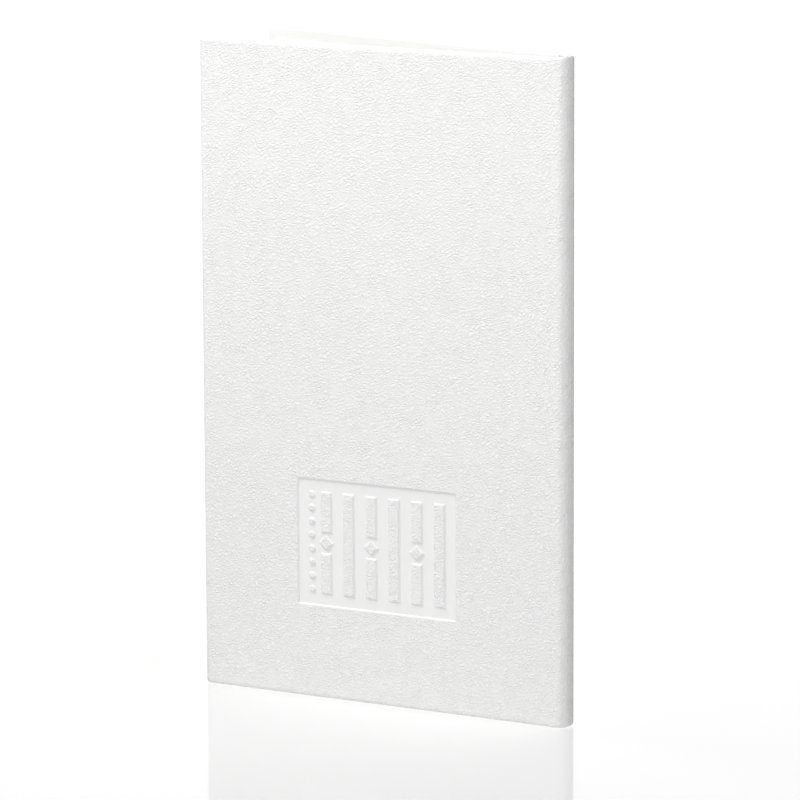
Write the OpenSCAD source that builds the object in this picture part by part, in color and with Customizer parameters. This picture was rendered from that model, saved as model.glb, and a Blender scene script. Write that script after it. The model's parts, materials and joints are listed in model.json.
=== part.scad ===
// A slim case-bound prayer booklet, standing on its tail edge and slightly open.
// The spine is a half-round at +X, the fore-edge is towards -X, and the front cover faces -Y.
// Two thin boards are wrapped in one sheet of leatherette; the sewn leaves fan out between them.

/* [Book] */
// Height of the covers
cover_h = 180; // [120:1:260]
// Width of the closed book, from the back of the spine to the fore-edge
cover_w = 112; // [80:1:180]
// Angle between the two covers as the book stands
open_angle = 14; // [4:0.5:24]

/* [Covers] */
// Thickness of the leatherette on the outside
skin_t = 0.7; // [0.6:0.1:1.4]
// Thickness of the grey board in each cover
board_t = 1; // [0.8:0.1:3]
// Thickness of the leatherette where it is pressed flat on the inside
turn_in_t = 0.4; // [0.3:0.1:0.8]
// How far the leatherette is turned in over the board
turn_in_w = 14; // [8:1:20]
// Distance from the hinge line to the spine edge of the board
board_gap = 1.5; // [1.2:0.1:3]
// Rounding of the outer edges of the covers
edge_r = 1.2; // [0.5:0.1:1.4]
// Rounding of the inner edges of the covers
inner_edge_r = 0.4; // [0.3:0.1:0.8]
// Rounding of the two corners of each cover
corner_r = 1.2; // [0.5:0.1:3]
// Rounding of the spine at its head
head_r = 0.6; // [0.4:0.1:1]
// Rounding of the spine at its tail
tail_r = 1.2; // [0.6:0.1:1.4]
// Thickness of the card inside the spine
stiffener_t = 0.5; // [0.3:0.1:1]

/* [Leaves] */
// Number of sewn sections
section_count = 1; // [1:2:5]
// Number of leaves in one section
leaves_per_section = 12; // [4:4:16]
// Thickness of one leaf
leaf_t = 0.12; // [0.1:0.01:0.25]
// Air between two leaves of the closed book
leaf_gap = 0.016; // [0.01:0.002:0.04]
// How far the covers stand out past the leaves
square_w = 3.5; // [2:0.5:6]
// Thickness of the paper pasted inside each cover
paste_t = 0.15; // [0.1:0.01:0.25]
// Bare margin of turned-in leatherette around the pasted paper
paste_margin = 3; // [2:0.5:6]

/* [Binding] */
// Diameter of the sewing thread
thread_d = 0.2; // [0.14:0.02:0.3]
// Number of long stitches inside the fold of each section
stitch_count = 3; // [2:1:5]
// Length of one stitch
stitch_l = 32; // [10:1:40]
// Thickness of the gauze glued over the folds
mull_t = 0.15; // [0.1:0.05:0.4]
// Width of the gauze that is glued to each board
mull_flange_w = 18; // [10:1:30]
// Thickness of the paper lining over the gauze
lining_t = 0.2; // [0.15:0.05:0.4]

/* [Pressed panel] */
// Width of the sunken panel
panel_w = 49; // [30:0.5:60]
// Height of the sunken panel
panel_h = 35; // [20:0.5:50]
// Height of the panel's lower edge above the tail
panel_z = 26; // [15:0.5:60]
// Distance from the fore-edge to the panel
panel_fore = 30; // [15:0.5:45]
// Depth of the panel
panel_depth = 0.45; // [0.2:0.05:0.5]
// Width of the raised bars
bar_w = 3.2; // [2:0.1:4]
// Number of raised bars
bar_count = 6; // [3:1:6]
// Number of raised beads beside the bars
bead_count = 8; // [4:1:9]

/* [Hidden] */
$fn = 64;
glue_gap = 0.02;              // between curved faces that are glued together
leaf_count = section_count * leaves_per_section;
last_sheet = leaf_count + 1;  // sheet 0 and this one are the flyleaves
pitch = leaf_t + leaf_gap;
thread_gap = thread_d;        // extra room at the middle of each section
block_t = last_sheet * pitch + leaf_t + section_count * thread_gap;
block_h = cover_h - 2 * square_w;
block_gap = 0.1;              // between the block and each closed cover
cover_t = skin_t + board_t + turn_in_t + paste_t;
mull_seat = mull_t + glue_gap;
book_t = 2 * (cover_t + block_gap) + block_t;
spine_r = book_t / 2;
hinge_y = spine_r - skin_t / 2;  // the hinge line runs through the middle of the leatherette
board_w = cover_w - spine_r;     // from the hinge line to the fore-edge
rest_angle = open_angle / 2;
skin_end = 0.8;                  // the cover's own leatherette starts this far from the hinge line
back_r = spine_r - skin_t - stiffener_t - turn_in_t - lining_t - mull_t - 0.25;  // rounded back of the block
root_clear = 0.2;                // from the hinge line of a leaf to the glued back of its section

// The whole book is moved along X so that its standing outline is centred on the origin.
fore_x = -(board_w - inner_edge_r) * cos(rest_angle)
         - (cover_t - paste_t - skin_t / 2 - inner_edge_r) * sin(rest_angle) - inner_edge_r;
shift_x = -(fore_x + spine_r) / 2;

// Distance of sheet i from the middle plane, and its hinge line's place along X.
function threads_before(i) = floor((i - 1 + leaves_per_section / 2) / leaves_per_section);
function sheet_y(i) = -block_t / 2 + leaf_t / 2 + i * pitch + thread_gap * threads_before(i);
fly_x = -(cover_t - skin_t / 2 + block_gap) - leaf_t / 2;
function gutter_x(y) = fly_x - (block_t / 2 - leaf_t / 2 - abs(y));
function sheet_x(i) = gutter_x(sheet_y(i));
// A sheet's share of its cover's angle falls from the cover to the middle of the book, not quite evenly.
share_step = 2 / (last_sheet + 2);
function near_share(i) = 1 - (i + 1) * share_step;
function stray(i) = 0.3 * share_step * sin(137 * i);
function sheet_share(i) = i <= leaf_count / 2 ? near_share(i) + stray(i)
                                              : -near_share(last_sheet - i) + stray(i);
function leaf_name(i) = str("leaf_", i < 10 ? "0" : "", i);
function section_lo(k) = sheet_y((k - 1) * leaves_per_section + 1) - pitch / 2;
function section_hi(k) = sheet_y(k * leaves_per_section) + pitch / 2;

// ---- shared shapes ----

// A rectangle from [0, 0] to [l, t] whose far end is rounded, by r_low at y = 0 and r_high at y = t.
module round_end(l, t, r_low, r_high) {
    union() {
        square([l - max(r_low, r_high), t]);
        translate([0, r_low]) square([l, t - r_low - r_high]);
        square([l - r_low, t / 2]);
        translate([0, t / 2]) square([l - r_high, t / 2]);
        translate([l - r_low, r_low]) circle(r = r_low);
        translate([l - r_high, t - r_high]) circle(r = r_high);
    }
}

// A half ring around the spine's own axis, on the +X side.
module half_ring(r_in, r_out, z0, z1) {
    translate([0, 0, z0]) difference() {
        cylinder(r = r_out, h = z1 - z0);
        translate([0, 0, -1]) cylinder(r = r_in, h = z1 - z0 + 2);
        translate([-2 * r_out, -2 * r_out, -1]) cube([2 * r_out, 4 * r_out, z1 - z0 + 2]);
    }
}

// Puts a piece drawn in the spine's frame into the standing book's frame.
module in_book() {
    translate([shift_x, 0, 0]) children();
}

// Puts a closed front cover piece on its hinge line, opened to the standing angle.
// In the cover's own frame X runs from the hinge line towards -fore-edge and Y from the outer face inwards.
module on_front_hinge() {
    in_book() translate([0, -hinge_y, 0]) rotate([0, 0, rest_angle]) children();
}

module on_back_hinge() {
    in_book() translate([0, hinge_y, 0]) rotate([0, 0, -rest_angle]) mirror([0, 1, 0]) children();
}

// A box in the cover's own frame: u from the hinge line to the fore-edge, w from the outer face inwards.
module cover_box(u0, u1, w0, w1, z0, z1) {
    translate([-u1, w0 - skin_t / 2, z0]) cube([u1 - u0, w1 - w0, z1 - z0]);
}

// ---- covers ----

// The outline of a wrapped cover: rounded at the fore-edge, the head and the tail, and at its corners.
module wrapped_slab() {
    slab_t = cover_t - paste_t;
    intersection() {
        translate([0, slab_t, 0]) rotate([90, 0, 0]) linear_extrude(2 * slab_t) union() {
            translate([-board_w, corner_r]) square([board_w, cover_h - 2 * corner_r]);
            translate([-board_w + corner_r, 0]) square([board_w - corner_r, cover_h]);
            for (z = [corner_r, cover_h - corner_r]) translate([-board_w + corner_r, z])
                circle(r = corner_r);
        }
        translate([0, -skin_t / 2, 0]) mirror([1, 0, 0])
            linear_extrude(cover_h) round_end(board_w, slab_t, edge_r, inner_edge_r);
        translate([0, -skin_t / 2, 0]) rotate([0, -90, 0]) linear_extrude(board_w)
            intersection() {
                round_end(cover_h, slab_t, edge_r, inner_edge_r);
                translate([cover_h, 0]) mirror([1, 0]) round_end(cover_h, slab_t, edge_r, inner_edge_r);
            }
    }
}

module cover_skin() {
    inner = skin_t + board_t;
    difference() {
        wrapped_slab();
        // the board's own place
        cover_box(board_gap, board_w - skin_t, skin_t, inner, skin_t, cover_h - skin_t);
        // the leatherette isn't turned in along the spine
        cover_box(-1, board_gap, skin_t, cover_t, -1, cover_h + 1);
        cover_box(-1, skin_end, -1, cover_t, -1, cover_h + 1);
        // the window between the turned-in edges
        cover_box(0, board_w - turn_in_w, inner - 0.01, cover_t, turn_in_w, cover_h - turn_in_w);
    }
}

module cover_board() {
    cover_box(board_gap, board_w - skin_t, skin_t, skin_t + board_t, skin_t, cover_h - skin_t);
}

// The gauze flange lies on the board, under the pasted paper.
module cover_mull_flange() {
    inner = skin_t + board_t;
    cover_box(board_gap, board_gap + mull_flange_w, inner, inner + mull_t,
              turn_in_w + glue_gap, cover_h - turn_in_w - glue_gap);
}

// The pasted paper lies on the turned-in edges and is pressed down to the board between them.
module cover_pastedown() {
    inner = skin_t + board_t;
    difference() {
        union() {
            cover_box(board_gap, board_w - paste_margin, cover_t - paste_t, cover_t,
                      paste_margin, cover_h - paste_margin);
            cover_box(board_gap, board_w - turn_in_w - glue_gap, inner, cover_t,
                      turn_in_w + glue_gap, cover_h - turn_in_w - glue_gap);
        }
        cover_box(0, board_gap + mull_flange_w + glue_gap, inner - 1, inner + mull_seat,
                  turn_in_w - 1, cover_h - turn_in_w + 1);
    }
}

// ---- pressed panel on the front cover ----

bar_margin = 3.4;
bead_d = 1.8;
bar_l = panel_h - 2 * bar_margin;
bar_pitch = (panel_w - 2 * bar_margin - bead_d - bar_w - 2) / (bar_count - 1);
lozenge = bar_w * 1.3;

// A plain row of raised bars with a column of beads beside it; every second bar is parted by a lozenge.
module panel_relief() {
    half_l = (bar_l - lozenge) / 2 - 0.9;
    for (i = [0:bar_count - 1]) translate([bar_margin + i * bar_pitch, bar_margin]) {
        if (i % 2 == 0) square([bar_w, bar_l]);
        if (i % 2 == 1) {
            square([bar_w, half_l]);
            translate([0, bar_l - half_l]) square([bar_w, half_l]);
            translate([bar_w / 2, bar_l / 2]) rotate(45) square(lozenge / sqrt(2), center = true);
        }
    }
    for (i = [0:bead_count - 1])
        translate([panel_w - bar_margin - bead_d / 2,
                   bar_margin + bead_d / 2 + i * (bar_l - bead_d) / (bead_count - 1)])
            circle(d = bead_d);
}

// The room that the pressing die leaves in the leatherette, in the cover's own frame.
module panel_recess() {
    translate([-(board_w - panel_fore), -skin_t / 2, panel_z]) rotate([90, 0, 0])
        translate([0, 0, -panel_depth]) linear_extrude(panel_depth + 1) difference() {
            square([panel_w, panel_h]);
            translate([panel_w, 0]) mirror([1, 0]) panel_relief();
        }
}

module front_cover_skin() {
    color("whitesmoke") on_front_hinge() difference() {
        cover_skin();
        panel_recess();
    }
}

module back_cover_skin() { color("whitesmoke") on_back_hinge() cover_skin(); }
module front_board() { color("darkgray") on_front_hinge() cover_board(); }
module back_board() { color("darkgray") on_back_hinge() cover_board(); }
module front_mull_flange() { color("linen") on_front_hinge() cover_mull_flange(); }
module back_mull_flange() { color("linen") on_back_hinge() cover_mull_flange(); }
module front_pastedown() { color("ivory") on_front_hinge() cover_pastedown(); }
module back_pastedown() { color("ivory") on_back_hinge() cover_pastedown(); }

// ---- spine ----

// The spine's wrapped section, from its axis outwards: outer wall, two ends and two turned-in flanges.
module spine_section() {
    wall = skin_t + stiffener_t + turn_in_t + 2 * glue_gap;
    r0 = spine_r - wall;
    difference() {
        translate([r0, cover_h]) rotate(-90) round_end_2(cover_h, wall, head_r, tail_r);
        // room for the card
        translate([spine_r - skin_t - stiffener_t - 2 * glue_gap, skin_t])
            square([stiffener_t + 2 * glue_gap, cover_h - 2 * skin_t]);
        // the window between the flanges
        translate([r0 - 1, turn_in_w]) square([turn_in_t + 1.01, cover_h - 2 * turn_in_w]);
    }
}

// A strip from [0, 0] to [l, t] whose y = t corners are rounded, by r_start at x = 0 and r_end at x = l.
module round_end_2(l, t, r_start, r_end) {
    union() {
        square([l, t - max(r_start, r_end)]);
        translate([r_start, 0]) square([l - r_start - r_end, t]);
        square([l / 2, t - r_start]);
        translate([l / 2, 0]) square([l / 2, t - r_end]);
        translate([r_start, t - r_start]) circle(r = r_start);
        translate([l - r_end, t - r_end]) circle(r = r_end);
    }
}

module spine_skin() {
    color("whitesmoke") in_book() union() {
        rotate([0, 0, -90]) rotate_extrude(angle = 180) spine_section();
        // the leatherette bends on these two round beads
        for (side = [-1, 1]) translate([0, side * hinge_y, edge_r])
            cylinder(d = skin_t, h = cover_h - 2 * edge_r);
    }
}

module spine_stiffener() {
    r = spine_r - skin_t - glue_gap;
    color("darkgray") in_book()
        half_ring(r - stiffener_t, r, skin_t + glue_gap, cover_h - skin_t - glue_gap);
}

// A strip of the block's rounded back, as wide as the sewn leaves.
module back_strip(r, t) {
    in_book() intersection() {
        half_ring(r, r + t, square_w + 4, cover_h - square_w - 4);
        translate([0, section_lo(1), 0]) cube([2 * spine_r, -2 * section_lo(1), cover_h]);
    }
}

module spine_mull() { color("linen") back_strip(back_r + glue_gap, mull_t); }
module spine_lining() { color("wheat") back_strip(back_r + mull_t + 2 * glue_gap, lining_t); }

// ---- sewn block ----

// The thread of one section: stitches in the fold, with links between them inside the glued folds.
function thread_y(k) = (section_lo(k) + section_hi(k)) / 2;
function thread_place(k) = [gutter_x(max(abs(thread_y(k)), (pitch + thread_gap) / 2)), thread_y(k), 0];
function stitch_start(n) = square_w + (block_h - stitch_count * stitch_l) * (n + 1) / (stitch_count + 1)
                           + n * stitch_l;
thread_dip = 1.6;  // how far the links lie behind the fold

// The thread's whole path, drawn with a given thickness.
module thread_path(k, d) {
    translate(thread_place(k)) union() {
        for (n = [0:stitch_count - 1]) translate([0, 0, stitch_start(n)]) {
            cylinder(d = d, h = stitch_l);
            for (z = [0, stitch_l]) translate([0, 0, z]) {
                sphere(d = d);
                rotate([0, 90, 0]) cylinder(d = d, h = thread_dip);
                translate([thread_dip, 0, 0]) sphere(d = d);
            }
        }
        for (n = [0:stitch_count - 2]) translate([thread_dip, 0, stitch_start(n) + stitch_l])
            cylinder(d = d, h = stitch_start(n + 1) - stitch_start(n) - stitch_l);
    }
}

module sewing_thread(k) {
    color("white") in_book() thread_path(k, thread_d);
}

// The glued folds of one section, from the leaves' hinge lines to the rounded back.
module section_back(k) {
    lo = section_lo(k) + glue_gap / 2;
    hi = section_hi(k) - glue_gap / 2;
    flat = (pitch + thread_gap) / 2;  // the innermost hinge lines of the book
    function front_x(y) = gutter_x(max(abs(y), flat)) + root_clear;
    middle = lo * hi < 0 ? [[front_x(flat), -flat], [front_x(flat), flat]] : [];
    color("ivory") in_book() difference() {
        translate([0, 0, square_w]) linear_extrude(block_h) intersection() {
            union() {
                circle(r = back_r);
                translate([-board_w, -back_r]) square([board_w, 2 * back_r]);
            }
            polygon(concat([[back_r, lo], [front_x(lo), lo]], middle, [[front_x(hi), hi], [back_r, hi]]));
        }
        thread_path(k, thread_d + 2 * glue_gap);
    }
}

// Any sheet of the block, fanned to its share of the standing angle.
module sheet(i) {
    reach = sheet_x(i) + board_w - square_w;
    in_book() translate([sheet_x(i), sheet_y(i), square_w]) rotate([0, 0, sheet_share(i) * rest_angle])
        translate([-reach, -leaf_t / 2, 0]) cube([reach, leaf_t, block_h]);
}

module front_flyleaf() { color("ivory") sheet(0); }
module back_flyleaf() { color("ivory") sheet(last_sheet); }
module leaf(i) { color("floralwhite") sheet(i); }

// ---- nodes ----

spine_skin();
spine_stiffener();
spine_lining();
spine_mull();
for (k = [1:section_count]) section_back(k);
for (k = [1:section_count]) sewing_thread(k);
front_cover_skin();
front_board();
front_mull_flange();
front_pastedown();
back_cover_skin();
back_board();
back_mull_flange();
back_pastedown();
front_flyleaf();
back_flyleaf();
for (i = [1:leaf_count]) leaf(i);
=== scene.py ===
import json
import math

import bmesh
import bpy
import numpy as np
from mathutils import Matrix, Vector


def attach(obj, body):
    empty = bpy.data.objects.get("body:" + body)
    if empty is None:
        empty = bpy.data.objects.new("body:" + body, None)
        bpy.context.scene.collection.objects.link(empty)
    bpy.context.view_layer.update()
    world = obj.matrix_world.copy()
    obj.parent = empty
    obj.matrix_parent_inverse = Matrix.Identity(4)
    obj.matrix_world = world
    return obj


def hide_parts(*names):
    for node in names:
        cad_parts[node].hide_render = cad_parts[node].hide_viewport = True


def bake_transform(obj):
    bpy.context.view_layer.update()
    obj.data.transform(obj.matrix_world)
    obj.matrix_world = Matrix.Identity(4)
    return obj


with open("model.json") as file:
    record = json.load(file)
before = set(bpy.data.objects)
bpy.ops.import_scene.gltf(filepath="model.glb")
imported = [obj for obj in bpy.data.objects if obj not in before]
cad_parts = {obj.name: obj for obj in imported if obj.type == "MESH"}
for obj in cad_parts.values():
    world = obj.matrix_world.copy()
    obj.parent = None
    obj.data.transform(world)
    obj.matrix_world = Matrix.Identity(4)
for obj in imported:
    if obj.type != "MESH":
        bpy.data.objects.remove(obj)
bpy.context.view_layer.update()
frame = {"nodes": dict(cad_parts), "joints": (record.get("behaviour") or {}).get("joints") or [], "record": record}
mm = 0.001  # every size below is in millimetres, and meshes are made in metres
joints = {j["name"]: j for j in frame["joints"]}
shares = {c["joint"]: c["ratio"] for c in frame["record"]["behaviour"]["couplings"]}

# where the covers hinge, and how far they stand open
hingeX, hingeY = joints["front_hinge"]["pos_m"][0] / mm, -joints["front_hinge"]["pos_m"][1] / mm
restAngle = math.radians(-joints["front_hinge"]["range_deg"][0])  # how far each cover stands open


def nodePoints(name):
    # all corners of a CAD node, in mm
    data = frame["nodes"][name].data
    co = np.empty(len(data.vertices) * 3, np.float32)
    data.vertices.foreach_get("co", co)
    return co.reshape(-1, 3).astype(float) / mm


spineR = nodePoints("spine_skin")[:, 1].max()  # outer radius of the half-round spine
skinT = 2 * (spineR - hingeY)  # the hinge line runs through the middle of the leatherette


def coverBox(name, side=-1):
    # lowest and highest (u, z, w) of a node in its closed cover: u runs from the hinge line to the
    # fore-edge, z up, and w from the outer face inwards. The cover is turned back by its rest angle.
    p = nodePoints(name)
    x, y = p[:, 0] - hingeX, -side * p[:, 1] + hingeY
    c, s = math.cos(restAngle), math.sin(restAngle)
    local = np.stack([-(c * x + s * y), p[:, 2], c * y - s * x + skinT / 2], 1)
    return local.min(0), local.max(0)


skinHigh = coverBox("front_cover_skin")[1]
boardLow, boardHigh = coverBox("front_board")

book = {
    "height": skinHigh[1],
    "width": skinHigh[0],  # from the hinge line to the fore-edge
    "wrapT": skinHigh[2],  # a wrapped cover without its paper
    "turnInT": skinHigh[2] - boardHigh[2],
    "turnInW": 14.0,
    "jointW": boardLow[0],  # from the hinge line to the board
    "spineSquare": 2.5,  # the superellipse's power: 2 is a half circle
    "spineT": 1.64,  # the spine's wall where the leatherette is turned in over its card
}
print("frame read: cover", round(book["width"], 2), "by", round(book["height"], 2), "mm")


def smooth(t):
    # 0 below 0, 1 above 1, and 3 t squared minus 2 t cubed between
    t = np.clip(t, 0, 1)
    return t * t * (3 - 2 * t)


def bookPoint(u, z, w, side):
    # Where a point of the wrapped sheet stands. u above 0 lies on the flat cover, u below 0 is arc
    # length round the spine. The cover part turns about the hinge line, by a share of the rest angle
    # that rises smoothly across the joint. side is -1 for the front and 1 for the back. The spine's
    # section is a superellipse, a little squarer than the half circle of the same width.
    u, z, w = np.broadcast_arrays(*(np.asarray(a, float) for a in (u, z, w)))
    arc = np.clip(-u, 0, None) / spineR
    power = book["spineSquare"]
    square = (np.sin(arc) ** power + abs(np.cos(arc)) ** power) ** (-1 / power)
    r = (spineR - w) * square
    x = np.where(u > 0, -u, r * np.sin(arc))
    y = np.where(u > 0, -r, -r * np.cos(arc)) + hingeY
    a = restAngle * smooth(u / book["jointW"])
    c, s = np.cos(a), np.sin(a)
    return np.stack([hingeX + c * x - s * y, -side * (s * x + c * y - hingeY), z], -1)


def makePiece(name, points, faces, finish, place=None, pressed=None, sharp=60):
    # points in mm, faces as lists of index lists; doubles are merged and faces turned outwards
    mesh = bpy.data.meshes.new(name)
    mesh.from_pydata((np.concatenate([p.reshape(-1, 3) for p in points]) * mm).tolist(), [], faces)
    for label, kind, value in (("sheetPlace", "FLOAT_VECTOR", place), ("pressed", "FLOAT", pressed)):
        if value is not None:
            field = "vector" if kind == "FLOAT_VECTOR" else "value"
            layer = mesh.attributes.new(label, kind, "POINT")
            flat = np.concatenate([v.ravel() for v in value])
            layer.data.foreach_set(field, flat.astype(np.float32))
    bm = bmesh.new()
    bm.from_mesh(mesh)
    bmesh.ops.remove_doubles(bm, verts=bm.verts, dist=1e-6)
    bmesh.ops.recalc_face_normals(bm, faces=bm.faces)
    if bm.calc_volume(signed=True) < 0:
        bmesh.ops.reverse_faces(bm, faces=bm.faces)
    loose = sum(1 for e in bm.edges if len(e.link_faces) != 2)
    bm.to_mesh(mesh)
    bm.free()
    mesh.shade_smooth()
    mesh.set_sharp_from_angle(angle=math.radians(sharp))
    mesh.materials.append(finish)
    piece = bpy.data.objects.new(name, mesh)
    bpy.context.scene.collection.objects.link(piece)
    if loose:
        print("open edges on", name, loose)
    return piece


def gridFaces(rows, columns, first=0):
    # quads of a rows by columns grid of points that starts at index first
    i = (np.arange(rows - 1)[:, None] * columns + np.arange(columns - 1)[None, :]).ravel() + first
    return np.stack([i, i + 1, i + columns + 1, i + columns], 1).tolist()


def rimFaces(rows, columns, first, second):
    # quads that join the borders of two grids of the same size
    top, bottom = np.arange(columns), (rows - 1) * columns + np.arange(columns)
    left, right = np.arange(rows) * columns, np.arange(rows) * columns + columns - 1
    faces = []
    for line in (top, bottom, left, right):
        a, b = line[:-1], line[1:]
        faces += np.stack([first + a, first + b, second + b, second + a], 1).tolist()
    return faces


def sheetPiece(name, outer, inner, finish, place=None, sharp=60):
    # a closed thin sheet between two grids of points, joined all round their borders
    rows, columns = outer.shape[:2]
    count = rows * columns
    faces = gridFaces(rows, columns) + gridFaces(rows, columns, count) + rimFaces(rows, columns, 0, count)
    both = None if place is None else [place, place]
    return makePiece(name, [outer, inner], faces, finish, both, sharp=sharp)


def newFinish(name):
    # an empty finish, its node tree and shader, and a short way to add nodes to it
    finish = bpy.data.materials.new(name)
    finish.use_nodes = True
    tree = finish.node_tree
    shader = tree.nodes["Principled BSDF"]

    def node(kind, inputs=None, **settings):
        made = tree.nodes.new(kind)
        for key, value in settings.items():
            setattr(made, key, value)
        for key, value in (inputs or {}).items():
            if isinstance(value, bpy.types.NodeSocket):
                tree.links.new(value, made.inputs[key])
            else:
                made.inputs[key].default_value = value
        return made

    return finish, tree, shader, node


leatherLook = {
    "colour": (0.905, 0.905, 0.905, 1),
    # the dark end of the colour: painted shade in the creases, which the random cloud tone also leans towards
    "paintedCreaseShade": (0.842, 0.84, 0.835, 1),
    "pebble": 0.78,  # mm across one pebble of the grain
    "stretch": 1.5,  # pebbles are longer than wide
    "lean": -40.0,  # degrees the long pebbles lean from level
    "vein": 4.6,  # mm between the long creases
    "veinDepth": 0.4,
    "drift": 1.9,  # mm that the pebbles wander from even cells
    "driftScale": 380.0,
    "swellScale": 160.0,  # how fast the pebbles' height changes over the sheet
    "poreScale": 1500.0,
    "cloudScale": 30.0,
    "grainHeight": 0.125,  # mm from a crease to the top of a pebble
    "fineHeight": 0.03,
    "pressedGrain": 0.06,  # what is left of the grain where the leatherette is ironed flat
    "roughness": 0.5,
}


def leatherFinish(name):
    # Pebbled grain: warped, stretched Voronoi cells give the pebbles and the creases between them, larger
    # cells the long creases, and a finer noise the pores. Where "pressed" is 1 the grain is ironed flat.
    # The colour is painted darker in the creases as painted shade, and a cloud noise varies its tone at random.
    look = leatherLook
    finish, tree, shader, node = newFinish(name)
    where = node("ShaderNodeAttribute", attribute_name="sheetPlace").outputs["Vector"]

    def noise(scale, detail=1.0):
        return node("ShaderNodeTexNoise", {"Vector": where, "Scale": scale, "Detail": detail}).outputs

    drift = (look["drift"] * mm,) * 3
    warped = node("ShaderNodeVectorMath", {0: noise(look["driftScale"])["Color"], 1: drift, 2: where},
                  operation="MULTIPLY_ADD")
    lean = (0, 0, math.radians(look["lean"]))
    leaned = node("ShaderNodeMapping", {"Vector": warped.outputs[0], "Rotation": lean,
                                        "Scale": (look["stretch"], 1, 1)}, vector_type="TEXTURE")
    cells = node("ShaderNodeTexVoronoi", {"Vector": leaned.outputs[0], "Scale": 1000 / look["pebble"]},
                 feature="DISTANCE_TO_EDGE")
    pebble = node("ShaderNodeMapRange", {"Value": cells.outputs["Distance"], "From Max": 0.3},
                  interpolation_type="SMOOTHSTEP")
    swell = noise(look["swellScale"])["Fac"]
    depth = node("ShaderNodeMapRange", {"Value": swell, "From Min": 0.3, "From Max": 0.7,
                                        "To Min": 0.7, "To Max": 1.0})
    plates = node("ShaderNodeTexVoronoi", {"Vector": leaned.outputs[0], "Scale": 1000 / look["vein"]},
                  feature="DISTANCE_TO_EDGE")
    vein = node("ShaderNodeMapRange", {"Value": plates.outputs["Distance"], "From Max": 0.07,
                                       "To Min": 1 - look["veinDepth"]}, interpolation_type="SMOOTHSTEP")
    uneven = node("ShaderNodeMath", {0: depth.outputs[0], 1: vein.outputs[0]}, operation="MULTIPLY")
    pebbles = node("ShaderNodeMath", {0: pebble.outputs[0], 1: uneven.outputs[0]}, operation="MULTIPLY")
    pores = noise(look["poreScale"])["Fac"]
    height = node("ShaderNodeMath", {0: pores, 1: look["fineHeight"] / look["grainHeight"],
                                     2: pebbles.outputs[0]}, operation="MULTIPLY_ADD")
    ironed = node("ShaderNodeAttribute", attribute_name="pressed").outputs["Fac"]
    keep = node("ShaderNodeMapRange", {"Value": ironed, "To Min": 1.0, "To Max": look["pressedGrain"]})
    grain = node("ShaderNodeMath", {0: height.outputs[0], 1: keep.outputs[0]}, operation="MULTIPLY")
    bump = node("ShaderNodeBump", {"Height": grain.outputs[0], "Distance": look["grainHeight"] * mm,
                                   "Strength": 1.0})
    tree.links.new(bump.outputs[0], shader.inputs["Normal"])
    cloud = noise(look["cloudScale"], 3.0)["Fac"]
    # painted shade: the colour darkens with the grain's height, in the creases and along the long creases, less
    # where ironed flat
    paintedCreaseShade = node("ShaderNodeMapRange", {"Value": pebbles.outputs[0], "To Min": -0.3, "To Max": 0.25})
    keptCreaseShade = node("ShaderNodeMath", {0: paintedCreaseShade.outputs[0], 1: keep.outputs[0]}, operation="MULTIPLY")
    even = node("ShaderNodeMapRange", {"Value": cloud, "To Min": 0.4, "To Max": 0.64})
    tone = node("ShaderNodeMath", {0: even.outputs[0], 1: keptCreaseShade.outputs[0]}, operation="ADD")
    ramp = node("ShaderNodeValToRGB", {"Fac": tone.outputs[0]})
    ramp.color_ramp.elements[0].color = look["paintedCreaseShade"]
    ramp.color_ramp.elements[1].color = look["colour"]
    rough = node("ShaderNodeMapRange", {"Value": cloud, "To Min": look["roughness"] - 0.06,
                                        "To Max": look["roughness"] + 0.08})
    tree.links.new(ramp.outputs["Color"], shader.inputs["Base Color"])
    tree.links.new(rough.outputs[0], shader.inputs["Roughness"])
    shader.inputs["Specular IOR Level"].default_value = 0.35
    return finish


paperLook = {"white": (0.955, 0.953, 0.947, 1), "shade": (0.935, 0.932, 0.922, 1), "fibre": 0.006}


def paperFinish(name, light, shade, fibre=paperLook["fibre"]):
    # soft cloudy formation with short fibres, both from noise; the fibres' noise is stretched up the sheet
    finish, tree, shader, node = newFinish(name)
    where = node("ShaderNodeAttribute", attribute_name="sheetPlace").outputs["Vector"]
    long = node("ShaderNodeMapping", {"Vector": where, "Scale": (1.0, 0.35, 1.0)})
    cloud = node("ShaderNodeTexNoise", {"Vector": where, "Scale": 140.0, "Detail": 4.0})
    fibres = node("ShaderNodeTexNoise", {"Vector": long.outputs[0], "Scale": 2200.0, "Detail": 3.0})
    both = node("ShaderNodeMath", {0: cloud.outputs["Fac"], 1: fibres.outputs["Fac"]}, operation="MULTIPLY")
    tone = node("ShaderNodeMapRange", {"Value": both.outputs[0], "From Min": 0.1, "From Max": 0.42})
    ramp = node("ShaderNodeValToRGB", {"Fac": tone.outputs[0]})
    ramp.color_ramp.elements[0].color = shade
    ramp.color_ramp.elements[1].color = light
    bump = node("ShaderNodeBump", {"Height": fibres.outputs["Fac"], "Distance": fibre * mm, "Strength": 0.8})
    tree.links.new(ramp.outputs["Color"], shader.inputs["Base Color"])
    tree.links.new(bump.outputs[0], shader.inputs["Normal"])
    shader.inputs["Roughness"].default_value = 0.86
    shader.inputs["Specular IOR Level"].default_value = 0.25
    return finish


leather = leatherFinish("white leatherette")
endpaper = paperFinish("endpaper", paperLook["white"], paperLook["shade"])
leafPaper = paperFinish("leaf paper", (0.885, 0.872, 0.835, 1), (0.85, 0.832, 0.79, 1), 0.008)


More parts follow.
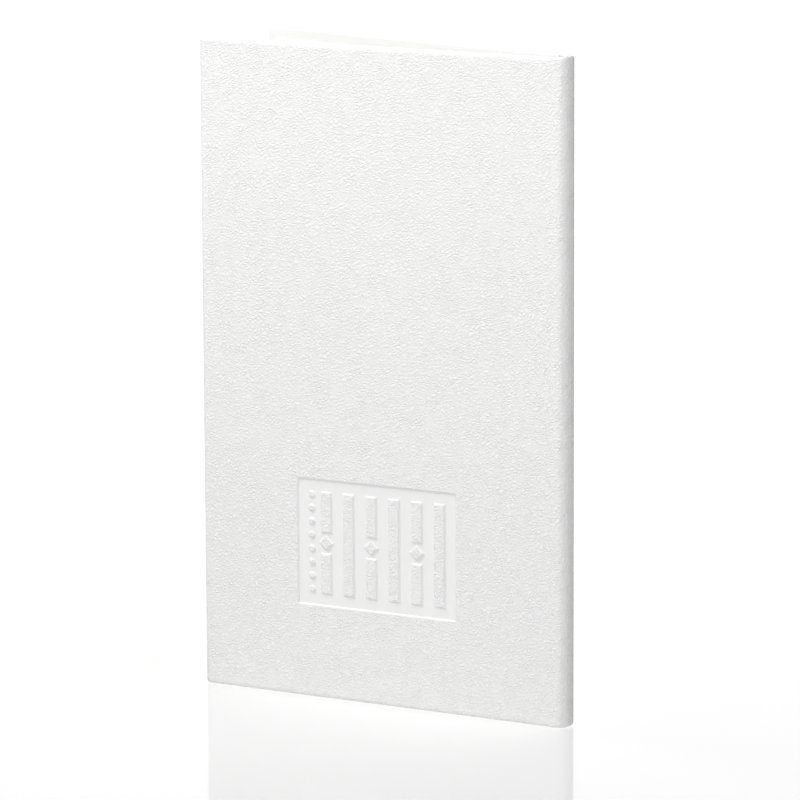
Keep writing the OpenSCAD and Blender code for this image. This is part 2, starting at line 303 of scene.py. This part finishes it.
def boardFinish():
    # grey pulp board: flecks of darker and lighter fibre
    finish, tree, shader, node = newFinish("grey board")
    where = node("ShaderNodeTexCoord").outputs["Object"]
    flecks = node("ShaderNodeTexNoise", {"Vector": where, "Scale": 900.0, "Detail": 5.0, "Roughness": 0.7})
    ramp = node("ShaderNodeValToRGB", {"Fac": flecks.outputs["Fac"]})
    ramp.color_ramp.elements[0].color = (0.22, 0.21, 0.19, 1)
    ramp.color_ramp.elements[0].position = 0.3
    ramp.color_ramp.elements[1].color = (0.42, 0.40, 0.36, 1)
    ramp.color_ramp.elements[1].position = 0.7
    bump = node("ShaderNodeBump", {"Height": flecks.outputs["Fac"], "Distance": 0.03 * mm})
    tree.links.new(ramp.outputs["Color"], shader.inputs["Base Color"])
    tree.links.new(bump.outputs[0], shader.inputs["Normal"])
    shader.inputs["Roughness"].default_value = 0.92
    return finish


def gauzeFinish():
    # open gauze: two sets of threads at right angles, along the book and across it
    finish, tree, shader, node = newFinish("cotton gauze")
    where = node("ShaderNodeTexCoord").outputs["Object"]
    threads = {"Vector": where, "Scale": 330.0, "Distortion": 0.6}
    warp = node("ShaderNodeTexWave", threads, bands_direction="Z")
    weft = node("ShaderNodeTexWave", threads, bands_direction="X")
    weave = node("ShaderNodeMath", {0: warp.outputs["Fac"], 1: weft.outputs["Fac"]}, operation="MAXIMUM")
    ramp = node("ShaderNodeValToRGB", {"Fac": weave.outputs[0]})
    ramp.color_ramp.elements[0].color = (0.52, 0.48, 0.40, 1)
    ramp.color_ramp.elements[1].color = (0.83, 0.81, 0.75, 1)
    bump = node("ShaderNodeBump", {"Height": weave.outputs[0], "Distance": 0.08 * mm})
    tree.links.new(ramp.outputs["Color"], shader.inputs["Base Color"])
    tree.links.new(bump.outputs[0], shader.inputs["Normal"])
    shader.inputs["Roughness"].default_value = 0.9
    return finish


def liningFinish():
    # brown wrapping paper with faint ribs
    finish, tree, shader, node = newFinish("kraft lining")
    where = node("ShaderNodeTexCoord").outputs["Object"]
    ribs = node("ShaderNodeTexWave", {"Vector": where, "Scale": 260.0, "Distortion": 1.5, "Detail": 2.0},
                bands_direction="Z")
    ramp = node("ShaderNodeValToRGB", {"Fac": ribs.outputs["Fac"]})
    ramp.color_ramp.elements[0].color = (0.40, 0.28, 0.16, 1)
    ramp.color_ramp.elements[1].color = (0.50, 0.37, 0.22, 1)
    tree.links.new(ramp.outputs["Color"], shader.inputs["Base Color"])
    shader.inputs["Roughness"].default_value = 0.85
    return finish


def foldFinish():
    # glued folded paper edges: fine dark lines a leaf's thickness apart, a little uneven, painted shade in the
    # gaps between the folds
    finish, tree, shader, node = newFinish("glued folds")
    where = node("ShaderNodeTexCoord").outputs["Object"]
    layers = node("ShaderNodeTexWave", {"Vector": where, "Scale": 960.0, "Distortion": 0.5},
                  bands_direction="Y")
    ramp = node("ShaderNodeValToRGB", {"Fac": layers.outputs["Fac"]})
    # the darker colour is painted shade in the gaps between the folds
    ramp.color_ramp.elements[0].color = (0.62, 0.58, 0.50, 1)
    ramp.color_ramp.elements[1].color = (0.87, 0.85, 0.80, 1)
    ramp.color_ramp.elements[1].position = 0.45
    bump = node("ShaderNodeBump", {"Height": layers.outputs["Fac"], "Distance": 0.03 * mm})
    tree.links.new(ramp.outputs["Color"], shader.inputs["Base Color"])
    tree.links.new(bump.outputs[0], shader.inputs["Normal"])
    shader.inputs["Roughness"].default_value = 0.8
    return finish


def threadFinish():
    # waxed linen thread: slanting plies
    finish, tree, shader, node = newFinish("linen thread")
    where = node("ShaderNodeTexCoord").outputs["Object"]
    plies = node("ShaderNodeTexWave", {"Vector": where, "Scale": 700.0, "Distortion": 0.2},
                 bands_direction="DIAGONAL")
    ramp = node("ShaderNodeValToRGB", {"Fac": plies.outputs["Fac"]})
    ramp.color_ramp.elements[0].color = (0.70, 0.66, 0.58, 1)
    ramp.color_ramp.elements[1].color = (0.90, 0.88, 0.83, 1)
    bump = node("ShaderNodeBump", {"Height": plies.outputs["Fac"], "Distance": 0.04 * mm})
    tree.links.new(ramp.outputs["Color"], shader.inputs["Base Color"])
    tree.links.new(bump.outputs[0], shader.inputs["Normal"])
    shader.inputs["Roughness"].default_value = 0.7
    return finish


print("finishes made")

panel = {
    "margin": 3.4,
    "barW": 3.2,
    "bars": 6,
    "beads": 8,
    "beadD": 1.8,
    "depth": 0.45,
    "wall": 0.3,  # width of the slope between the floor and what stands up
}
floorPoints = nodePoints("front_cover_skin")
x, y = floorPoints[:, 0] - hingeX, floorPoints[:, 1] + hingeY
floorU = -(math.cos(restAngle) * x + math.sin(restAngle) * y)
floorW = math.cos(restAngle) * y - math.sin(restAngle) * x + skinT / 2
onFloor = (abs(floorW - panel["depth"]) < 0.01) & (floorU > 5) & (floorU < book["width"] - 5)
panelLow = np.array([floorU[onFloor].min(), floorPoints[onFloor, 2].min()])
panelHigh = np.array([floorU[onFloor].max(), floorPoints[onFloor, 2].max()])


def panelShapes():
    # bars as (u0, z0, u1, z1) in the cover, lozenges as (u, z, half diagonal), beads as (u, z, radius)
    p = panel
    barL = panelHigh[1] - panelLow[1] - 2 * p["margin"]
    lozenge = p["barW"] * 1.3
    halfL = (barL - lozenge) / 2 - 0.9
    gap = (panelHigh[0] - panelLow[0] - 2 * p["margin"] - p["beadD"] - p["barW"] - 2) / (p["bars"] - 1)
    z0 = panelLow[1] + p["margin"]
    bars, lozenges, beads = [], [], []
    for i in range(p["bars"]):
        u0 = panelLow[0] + p["margin"] + i * gap
        if i % 2 == 0:
            bars.append((u0, z0, u0 + p["barW"], z0 + barL))
        else:
            bars.append((u0, z0, u0 + p["barW"], z0 + halfL))
            bars.append((u0, z0 + barL - halfL, u0 + p["barW"], z0 + barL))
            lozenges.append((u0 + p["barW"] / 2, z0 + barL / 2, lozenge / 2))
    for i in range(p["beads"]):
        z = z0 + p["beadD"] / 2 + i * (barL - p["beadD"]) / (p["beads"] - 1)
        beads.append((panelHigh[0] - p["margin"] - p["beadD"] / 2, z, p["beadD"] / 2))
    return bars, lozenges, beads


def panelDepth(u, z):
    # how deep the die has pressed at (u, z), as a share: 1 on the floor, 0 on the raised shapes and
    # outside. Each edge is a smooth step of the distance to the nearest border.
    def step(distance):
        return smooth(distance / panel["wall"] + 0.5)

    def boxDistance(u0, z0, u1, z1):
        du, dz = np.minimum(u - u0, u1 - u), np.minimum(z - z0, z1 - z)
        return np.minimum(du, dz)

    raised = np.zeros_like(u)
    bars, lozenges, beads = panelShapes()
    for b in bars:
        raised = np.maximum(raised, step(boxDistance(*b)))
    for cu, cz, half in lozenges:
        raised = np.maximum(raised, step((half - abs(u - cu) - abs(z - cz)) / math.sqrt(2)))
    for cu, cz, r in beads:
        raised = np.maximum(raised, step(r - np.hypot(u - cu, z - cz)))
    return step(boxDistance(*panelLow, *panelHigh)) * (1 - raised)


def fineLines(low, high, spacing, edges, closer=()):
    # Even lines from low to high, half as far apart inside each of the closer bands, and extra ones
    # on both sides of each edge so that its slope is crisp.
    offsets = np.array([-0.55, -0.25, 0.0, 0.25, 0.55]) * panel["wall"]
    extra = np.unique(np.round((np.array(edges)[:, None] + offsets).ravel(), 4))
    even = np.linspace(low - 0.8, high + 0.8, int((high - low + 1.6) / spacing * 2) + 1)
    wanted = np.arange(len(even)) % 2 == 0
    for a, b in closer:
        wanted |= (even > a - 0.2) & (even < b + 0.2)
    even = even[wanted]
    near = abs(even[:, None] - extra[None, :]).min(1) < 0.08
    return np.sort(np.concatenate([even[~near], extra]))


wrap = {
    "gridInset": 1.6,  # the outer face's grid stops this far from the edges
    "cornerR": 1.2,
    "edgeR": 1.2,
    "innerR": 0.4,
    "softR": 0.3,  # the inner edge's radius at the joint and the spine
    "spineHeadR": 0.6,
    "spineTailR": 1.2,
    "jointR": 0.5,
    "jointT": skinT + book["turnInT"] + 0.06,
    "cornerSteps": 6,
    "arcSteps": 5,
    "coarse": 4.0,  # spacing of the lines on a plain face
    "fine": (0.34, 0.24),  # spacing of the lines in the pressed panel, along u and z
    "wave": 0.05,  # the board's own unevenness
    "waveFade": 12.0,  # it starts this far in from the edges
    "innerRows": 40,
    "flapIroned": 0.8,
}


def sheetLines(pressed):
    # lines of the outer face's grid: u from the middle of the spine to the fore-edge, and z upwards
    middle = -spineR * math.pi / 2
    s = np.linspace(0, 1, 20)
    spineLines = middle * (1 - s**1.6)
    joint = np.linspace(0, book["jointW"], 9)[1:]
    cap = book["jointW"] + 0.5
    uEnd, zEnd = book["width"] - wrap["gridInset"], book["height"] - wrap["gridInset"]

    def plain(a, b):
        return np.linspace(a, b, max(int(abs(b - a) / wrap["coarse"]), 1) + 1)

    if pressed:
        bars, lozenges, beads = panelShapes()
        uEdges = [panelLow[0], panelHigh[0]] + [v for b in bars for v in (b[0], b[2])]
        zEdges = sorted({panelLow[1], panelHigh[1]} | {round(v, 3) for b in bars for v in (b[1], b[3])})
        closer = [(c[0] - c[2], c[0] + c[2]) for c in lozenges + beads]
        uFine = fineLines(panelLow[0], panelHigh[0], wrap["fine"][0], uEdges, closer)
        zFine = fineLines(panelLow[1], panelHigh[1], wrap["fine"][1], zEdges)
        uLines = [spineLines, joint, plain(cap, uFine[0])[:-1], uFine, plain(uFine[-1], uEnd)[1:]]
        zLines = [plain(wrap["gridInset"], zFine[0])[:-1], zFine, plain(zFine[-1], zEnd)[1:]]
        return np.concatenate(uLines), np.concatenate(zLines), cap
    return np.concatenate([spineLines, joint, plain(cap, uEnd)]), plain(wrap["gridInset"], zEnd), cap


def wrappedSheet(name, side, finish):
    # The outer face is a grid. Round its tail, fore-edge and head runs a path, and along that path
    # a profile is carried: round the outer edge, round the inner edge, along the turned-in flap,
    # over its cut edge and back under it. Inside, a flat cap closes the cover, and a second grid
    # closes the joint and the spine.
    w = wrap
    uLines, zLines, cap = sheetLines(side < 0)
    width, height = book["width"], book["height"]
    gridU, gridZ = np.meshgrid(uLines, zLines, indexing="ij")
    depth = panelDepth(gridU, gridZ) if side < 0 else np.zeros_like(gridU)
    uEnd, zEnd = width - w["gridInset"], height - w["gridInset"]
    fade = smooth((gridU - 3) / w["waveFade"]) * smooth((uEnd - gridU) / w["waveFade"])
    fade = fade * smooth((gridZ - w["gridInset"]) / w["waveFade"]) * smooth((zEnd - gridZ) / w["waveFade"])
    waves = np.sin(gridU * 0.13 + 0.8) * np.sin(gridZ * 0.071 + 0.4 * np.sin(gridU * 0.05))
    waves = waves + 0.5 * np.sin(gridU * 0.05 + gridZ * 0.11)
    face = bookPoint(gridU, gridZ, panel["depth"] * depth + w["wave"] * fade * (waves + 1.2) * 0.5, side)

    # the path: tail columns, a corner, fore-edge rows, a corner, head columns back again
    turn = np.linspace(0, math.pi / 2, w["cornerSteps"] + 1)
    columns, rows, steps = len(uLines), len(zLines), len(turn)
    kind = np.repeat([0, 1, 2, 3, 4], [columns, steps, rows, steps, columns])
    along = np.concatenate([uLines, turn, zLines, turn, uLines[::-1]])
    edgeU = np.where((kind == 0) | (kind == 4), along, width)
    onSpine = smooth((0.2 - edgeU) / 0.4)
    inJoint = smooth((book["jointW"] - edgeU) / 0.3) * (1 - onSpine)
    headward = kind >= 3
    spineOuter = np.where(headward, w["spineHeadR"], w["spineTailR"])
    onCover = 1 - onSpine - inJoint
    outerR = onSpine * spineOuter + inJoint * w["jointR"] + onCover * w["edgeR"]
    innerR = (onSpine + inJoint) * w["softR"] + onCover * w["innerR"]
    wallT = onSpine * book["spineT"] + inJoint * w["jointT"] + onCover * book["wrapT"]

    def ring(k):
        # (u, z) of the path moved in from the book's edge by k
        inset, r = np.maximum(k, w["cornerR"]), np.maximum(w["cornerR"] - k, 0)
        uEnd, zLow, zHigh = width - inset, inset, height - inset
        reach = np.clip((along - 10) / (width - w["gridInset"] - 10), 0, 1)
        uColumn = along + (uEnd - (width - w["gridInset"])) * reach
        stretch = (zHigh - zLow) / (height - 2 * w["gridInset"])
        zRow = height / 2 + (along - height / 2) * stretch
        u = np.select([kind == 1, kind == 3, kind == 2],
                      [uEnd + r * np.sin(along), uEnd + r * np.cos(along), width - k], uColumn)
        z = np.select([kind == 0, kind == 1, kind == 3, kind == 4],
                      [k, zLow - r * np.cos(along), zHigh + r * np.sin(along), height - k], zRow)
        return u, z

    arc = np.linspace(0, math.pi / 2, w["arcSteps"] + 1)[:, None]
    zero = np.zeros_like(wallT)[None, :]
    flap, under = book["turnInW"], wallT - book["turnInT"]
    k = [zero + w["gridInset"], outerR - outerR * np.sin(arc), innerR - innerR * np.cos(arc)]
    d = [zero, outerR - outerR * np.cos(arc), wallT - innerR + innerR * np.sin(arc)]
    flapProfile = ((3, wallT), (flap * 0.5, wallT), (flap - 0.2, wallT), (flap - 0.05, wallT - 0.06),
                   (flap, wallT - 0.2), (flap, under), (flap * 0.5, under), (skinT, under),
                   (skinT, skinT + 0 * under))
    for inward, level in flapProfile:
        k.append(zero + inward)
        d.append(level[None, :])
    k, d = np.concatenate(k), np.concatenate(d)
    ringU, ringZ = (np.stack(a) for a in zip(*(ring(row) for row in k)))
    band = bookPoint(ringU, ringZ, d, side)
    stepK, stepD = np.diff(k, axis=0, prepend=k[:1]), np.diff(d, axis=0, prepend=d[:1])
    length = np.cumsum(np.hypot(stepK, stepD), 0)
    normalU = np.select([kind == 1, kind == 2, kind == 3], [np.sin(along), 1, np.cos(along)], 0)
    normalZ = np.select([kind == 0, kind == 1, kind == 3, kind == 4],
                        [-1, -np.cos(along), np.sin(along), 1], 0)
    bandPlace = np.stack([ringU[:1] + normalU * length, ringZ[:1] + normalZ * length, 0 * length], -1)

    # the inner side of the joint and the spine
    innerU = uLines[uLines <= cap + 1e-6]
    innerZ = np.linspace(skinT, height - skinT, w["innerRows"])
    insideU, insideZ = np.meshgrid(innerU, innerZ, indexing="ij")
    inside = bookPoint(insideU, insideZ, np.full_like(insideU, skinT), side)

    faceCount, bandCount = face.shape[0] * face.shape[1], band.shape[0] * band.shape[1]
    faces = gridFaces(*face.shape[:2]) + gridFaces(*band.shape[:2], first=faceCount)
    faces += gridFaces(*inside.shape[:2], first=faceCount + bandCount)
    pathCount, last = len(along), faceCount + (len(k) - 1) * len(along)
    tailCap = int(np.argmin(abs(uLines - cap)))
    innerCount = len(innerZ)
    innerAt = faceCount + bandCount + (len(innerU) - 1) * innerCount
    loop = [last + i for i in range(tailCap, pathCount - tailCap)]
    faces.append(loop + [innerAt + i for i in range(innerCount - 2, 0, -1)])
    seam = [faceCount + i * pathCount for i in range(len(k))]  # the profile at the tail end of the seam
    seamTop = [faceCount + i * pathCount + pathCount - 1 for i in range(len(k))]
    outerSeam = list(range(1, len(zLines) - 1))
    innerSeam = [faceCount + bandCount + i for i in range(innerCount - 2, 0, -1)]
    faces.append(seam[::-1] + outerSeam + seamTop + innerSeam)

    def flat(u, z):
        return np.stack([u, z, 0 * u], -1) * mm

    place = [flat(gridU, gridZ), bandPlace * mm, flat(insideU, insideZ)]
    # the turned-in flaps are ironed smoother than the outer face
    ironed = smooth((np.arange(len(k)) - w["arcSteps"]) / w["arcSteps"])[:, None] * w["flapIroned"]
    pressed = [depth, ironed + 0 * ringU, 0 * insideU]
    return makePiece(name, [face, band, inside], faces, finish, place, pressed)


for side, body, name in ((-1, "front_cover", "frontLeatherette"), (1, "back_cover", "backLeatherette")):
    sheet = wrappedSheet(name, side, leather)
    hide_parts(body + "_skin", "spine_skin")
    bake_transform(sheet)
    print(name, "made,", len(sheet.data.polygons), "faces")

endSheet = {
    "thickness": 0.12,
    "dip": 0.1,  # how far the paper sinks inside the turned-in edges
    "dipWidth": 1.6,
    "cornerR": 0.4,
    "jointFloor": 0.08,  # clear of the leatherette in the joint
    "bendStart": 8.0,  # the flat part ends this far from the hinge line
    "edgeBand": 18.0,  # the rows are closer together this near the head and the tail
    "bandRows": 12,
    "rows": 24,
    "foldR": 0.3,
    "foldGap": 0.03,  # between the block and the folded endpaper, and half its thickness
}


def roundedPath(corners, radius, steps=5):
    # a path through the corners, each inner one replaced by a short quadratic curve that starts and
    # ends radius away from it
    corners = np.array(corners, float)
    path = [corners[:1]]
    t = np.linspace(0, 1, steps)[:, None]
    for a, b, c in zip(corners[:-2], corners[1:-1], corners[2:]):
        before, after = a - b, c - b
        rA, rC = (min(radius, 0.45 * np.linalg.norm(v)) for v in (before, after))
        p = b + before / np.linalg.norm(before) * rA
        q = b + after / np.linalg.norm(after) * rC
        path.append((1 - t) ** 2 * p + 2 * t * (1 - t) * b + t**2 * q)
    path.append(corners[-1:])
    return np.concatenate(path)


def sheetPlace(across, zLines, number=0):
    # the finish's own coordinates on a sheet, in metres: distance across it, height, and a step that
    # gives each sheet its own pattern
    outwards, upwards = np.meshgrid(across, zLines, indexing="ij")
    return np.stack([outwards, upwards, np.full_like(outwards, 20.0 * number)], -1) * mm


def pathLength(path):
    # distance along a path from its start
    return np.concatenate([[0], np.cumsum(np.hypot(*np.diff(path, axis=0).T))])


def pathNormals(path):
    # unit vectors square to a path in its plane, to the left of its run
    run = np.gradient(path, axis=0)
    run /= np.linalg.norm(run, axis=1)[:, None]
    return np.stack([-run[:, 1], run[:, 0]], 1)


def pastedPaper(name, side, body):
    # The sheet lies on the turned-in edges, sinks a little in the window between them, goes round the
    # board's spine edge, along the joint, and up to the spine's own turned-in edge.
    e = endSheet
    low, high = coverBox(body.replace("cover", "pastedown"), side)
    t = e["thickness"]
    level, floor, wall = high[2], skinT + e["jointFloor"] + t, book["spineT"]
    height, bandTop, flapEnd = book["height"], e["edgeBand"], book["width"] - book["turnInW"]
    flatU = np.concatenate([np.linspace(high[0], flapEnd - 2, 18)[:-1],
                            np.linspace(flapEnd - 2, e["bendStart"], 24)[:-1]])
    boardEdge, seam = book["jointW"] - t, 0.02
    bend = roundedPath([(e["bendStart"], level), (boardEdge, level), (boardEdge, floor), (seam, floor),
                        (seam, wall + 0.3)], e["cornerR"])
    path = np.concatenate([np.stack([flatU, np.full_like(flatU, level)], 1), bend])
    zLines = np.concatenate([np.linspace(low[1], bandTop, e["bandRows"])[:-1],
                             np.linspace(bandTop, height - bandTop, e["rows"]),
                             np.linspace(height - bandTop, high[1], e["bandRows"])[1:]])
    inward = pathNormals(path) * t
    window = smooth((flapEnd - path[:, 0]) / e["dipWidth"])[:, None]
    window = window * smooth((zLines - book["turnInW"]) / e["dipWidth"])[None, :]
    window = window * smooth((height - book["turnInW"] - zLines) / e["dipWidth"])[None, :]
    window = window * smooth((path[:, 0] - 3) / 2)[:, None]
    sheetU = np.broadcast_to(path[:, :1], window.shape)
    sheetZ = np.broadcast_to(zLines[None, :], window.shape)
    sunk = path[:, 1:] - e["dip"] * window
    top = bookPoint(sheetU, sheetZ, sunk, side)
    bottom = bookPoint(sheetU + inward[:, :1], sheetZ, sunk + inward[:, 1:], side)
    return sheetPiece(name, top, bottom, endpaper, sheetPlace(pathLength(path), zLines, side))


def foldPaper(name, side):
    # The endpaper's own fold: from the spine's turned-in edge across to the side of the block, and
    # along it to where the flyleaf begins.
    e = endSheet
    blockY = abs(nodePoints("section_back_1")[:, 1]).max() + e["foldGap"]
    rootX = joints[("front" if side < 0 else "back") + "_flyleaf_turn"]["pos_m"][0] / mm - hingeX
    path = roundedPath([(0.25, -(spineR - book["spineT"] + e["thickness"])), (0.3, -blockY),
                        (rootX + 0.05, -blockY)], e["foldR"])
    normals = pathNormals(path) * e["foldGap"]
    low, high = coverBox("front_pastedown")
    zLines = np.linspace(low[1], high[1], e["rows"])

    def standing(points):
        x = np.broadcast_to(hingeX + points[:, :1], (len(points), len(zLines)))
        y = np.broadcast_to(-side * points[:, 1:], x.shape)
        return np.stack([x, y, np.broadcast_to(zLines[None, :], x.shape)], -1)

    place = sheetPlace(pathLength(path), zLines, 3 * side)
    return sheetPiece(name, standing(path + normals), standing(path - normals), endpaper, place)


for side, word in ((-1, "front"), (1, "back")):
    paper = pastedPaper(word + "Pastedown", side, word + "_cover")
    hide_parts(word + "_pastedown")
    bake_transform(paper)
    fold = foldPaper(word + "EndpaperFold", side)
    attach(fold, "spine")
print("endpapers made")

leafShape = {"curl": 14.0, "root": 0.21, "curlColumns": 16, "plainColumns": 8, "rows": 9}


def leafSheet(node, finish, number):
    # A flat sheet turned about its line at the gutter. The turn is a share of the leaf's own angle
    # that rises smoothly over the curl, so the sheet leaves the fold straight and bends into its fan.
    s = leafShape
    joint = joints[node + "_turn"]
    axisX, axisY = joint["pos_m"][0] / mm, joint["pos_m"][1] / mm
    angle = joint["axis"][2] * shares[node + "_turn"] * restAngle
    p = nodePoints(node)
    c, n = math.cos(angle), math.sin(angle)
    x, y = p[:, 0] - axisX, p[:, 1] - axisY
    local = np.stack([c * x + n * y, c * y - n * x], 1)
    reach, half = -local[:, 0].min(), np.ptp(local[:, 1]) / 2
    out = np.concatenate([[-s["root"]], np.linspace(0, s["curl"], s["curlColumns"]),
                          np.linspace(s["curl"], reach, s["plainColumns"])[1:]])
    zLines = np.linspace(p[:, 2].min(), p[:, 2].max(), s["rows"])
    turn = angle * smooth(out / s["curl"])

    def face(offset):
        x = axisX - out * np.cos(turn) - offset * np.sin(turn)
        y = axisY - out * np.sin(turn) + offset * np.cos(turn)
        shape = (len(out), len(zLines))
        return np.stack([np.broadcast_to(x[:, None], shape), np.broadcast_to(y[:, None], shape),
                         np.broadcast_to(zLines[None, :], shape)], -1)

    piece = sheetPiece(node + "Sheet", face(-half), face(half), finish, sheetPlace(out, zLines, number))
    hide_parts(node)
    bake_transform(piece)
    return piece


for number, node in enumerate(sorted(frame["nodes"]), 5):
    if node.startswith("leaf_"):
        leafSheet(node, leafPaper, number)
    elif node.endswith("_flyleaf"):
        leafSheet(node, endpaper, number)
print("leaves made:", sum(1 for n in frame["nodes"] if n.startswith("leaf_")))

# the frame's own nodes that stay in view inside the book
nodeFinishes = {
    "board": boardFinish(),
    "stiffener": None,
    "mull": gauzeFinish(),
    "lining": liningFinish(),
    "section_back": foldFinish(),
    "sewing_thread": threadFinish(),
}
nodeFinishes["stiffener"] = nodeFinishes["board"]
for name, node in frame["nodes"].items():
    if node.hide_render:
        continue
    for word, finish in nodeFinishes.items():
        if word in name:
            node.data.materials.clear()
            node.data.materials.append(finish)
print("inner nodes finished")

stage = {
    "floorSize": 12.0,
    "floorColour": (0.86, 0.86, 0.855, 1),
    "floorRoughness": 0.06,
    "floorGlow": 0.46,
    "roomLight": 0.26,  # the bright half of the studio, on the camera's side
    "roomDark": 0.02,
    "roomFrom": (0.45, -0.75, 0.6),
    "backdrop": 1.25,  # a white card behind the book, which the glossy floor mirrors
    "backdropAt": (-0.584, 0.793, 0.174),
    "aim": (0.01, 0, 0.1),
    "lamps": {  # soft boxes: place, size and power
        "key": ((-0.42, -0.4, 0.62), 0.16, 2.45),
        "fill": ((0.72, -0.92, 0.45), 0.25, 4.5),
        "overhead": ((0.0, -0.2, 0.7), 0.4, 1.9),
    },
}


def makeFloor():
    # one flat square with a gloss, a little brighter than its own colour
    half = stage["floorSize"] / 2
    mesh = bpy.data.meshes.new("floor")
    corners = [(-half, -half, 0), (half, -half, 0), (half, half, 0), (-half, half, 0)]
    mesh.from_pydata(corners, [], [(0, 1, 2, 3)])
    floor = bpy.data.objects.new("floor", mesh)
    bpy.context.scene.collection.objects.link(floor)
    finish, tree, shader, node = newFinish("white gloss floor")
    shader.inputs["Base Color"].default_value = stage["floorColour"]
    shader.inputs["Roughness"].default_value = stage["floorRoughness"]
    shader.inputs["Emission Color"].default_value = (1, 1, 1, 1)
    shader.inputs["Emission Strength"].default_value = stage["floorGlow"]
    mesh.materials.append(finish)
    return floor


def makeWorld():
    # A room that is bright on one side and fades smoothly round to dark, with a white card behind the
    # book. Each is a smooth step of the dot product of the view's direction with the light's.
    world = bpy.data.worlds.new("studio")
    world.use_nodes = True
    tree = world.node_tree
    where = tree.nodes.new("ShaderNodeTexCoord").outputs["Generated"]
    total = None
    for towards, low, high, dim, bright in (
        (stage["roomFrom"], -0.4, 0.4, stage["roomDark"], stage["roomLight"]),
        (stage["backdropAt"], 0.8, 0.94, 0.0, stage["backdrop"]),
    ):
        facing = tree.nodes.new("ShaderNodeVectorMath")
        facing.operation = "DOT_PRODUCT"
        facing.inputs[1].default_value = Vector(towards).normalized()
        tree.links.new(where, facing.inputs[0])
        ramp = tree.nodes.new("ShaderNodeMapRange")
        ramp.interpolation_type = "SMOOTHSTEP"
        for key, value in (("From Min", low), ("From Max", high), ("To Min", dim), ("To Max", bright)):
            ramp.inputs[key].default_value = value
        tree.links.new(facing.outputs["Value"], ramp.inputs["Value"])
        if total is None:
            total = ramp.outputs[0]
        else:
            both = tree.nodes.new("ShaderNodeMath")
            tree.links.new(total, both.inputs[0])
            tree.links.new(ramp.outputs[0], both.inputs[1])
            total = both.outputs[0]
    tree.links.new(total, tree.nodes["Background"].inputs["Strength"])
    tree.nodes["Background"].inputs["Color"].default_value = (1, 1, 1, 1)
    bpy.context.scene.world = world


def makeLamps(floor):
    # soft boxes on both sides and overhead; they are kept off the floor, so that it stays even
    kept = bpy.data.collections.new("kept out of the lamps")
    kept.objects.link(floor)
    kept.collection_objects[0].light_linking.link_state = "EXCLUDE"
    for name, (place, size, power) in stage["lamps"].items():
        data = bpy.data.lights.new(name, "AREA")
        data.energy, data.size = power, size
        lamp = bpy.data.objects.new(name, data)
        lamp.location = place
        lamp.rotation_euler = (Vector(stage["aim"]) - lamp.location).to_track_quat("-Z", "Y").to_euler()
        bpy.context.scene.collection.objects.link(lamp)
        lamp.light_linking.receiver_collection = kept


studioFloor = makeFloor()
makeWorld()
makeLamps(studioFloor)

cameraPlace = {
    "azimuth": 36.377,  # degrees round from straight in front, towards the spine
    "elevation": 10.385,
    "roll": -0.265,
    "distance": 1.32203,
    "lens": 225.0,
    "target": (18.166 * mm, -25.134 * mm, 88.845 * mm),
}


def makeCamera():
    # the camera stands off from its target by the distance, along the direction of its two angles
    c = cameraPlace
    azimuth, elevation = math.radians(c["azimuth"]), math.radians(c["elevation"])
    level = math.cos(elevation)
    back = Vector((math.sin(azimuth) * level, -math.cos(azimuth) * level, math.sin(elevation)))
    data = bpy.data.cameras.new("camera")
    data.lens, data.sensor_width = c["lens"], 36.0
    data.clip_start, data.clip_end = 0.05, 50.0
    camera = bpy.data.objects.new("camera", data)
    turn = (-back).to_track_quat("-Z", "Y").to_matrix().to_4x4()
    turn = turn @ Matrix.Rotation(math.radians(c["roll"]), 4, "Z")
    camera.matrix_world = Matrix.Translation(Vector(c["target"]) + back * c["distance"]) @ turn
    bpy.context.scene.collection.objects.link(camera)
    bpy.context.scene.camera = camera


makeCamera()
bpy.context.scene.view_settings.view_transform = "Standard"
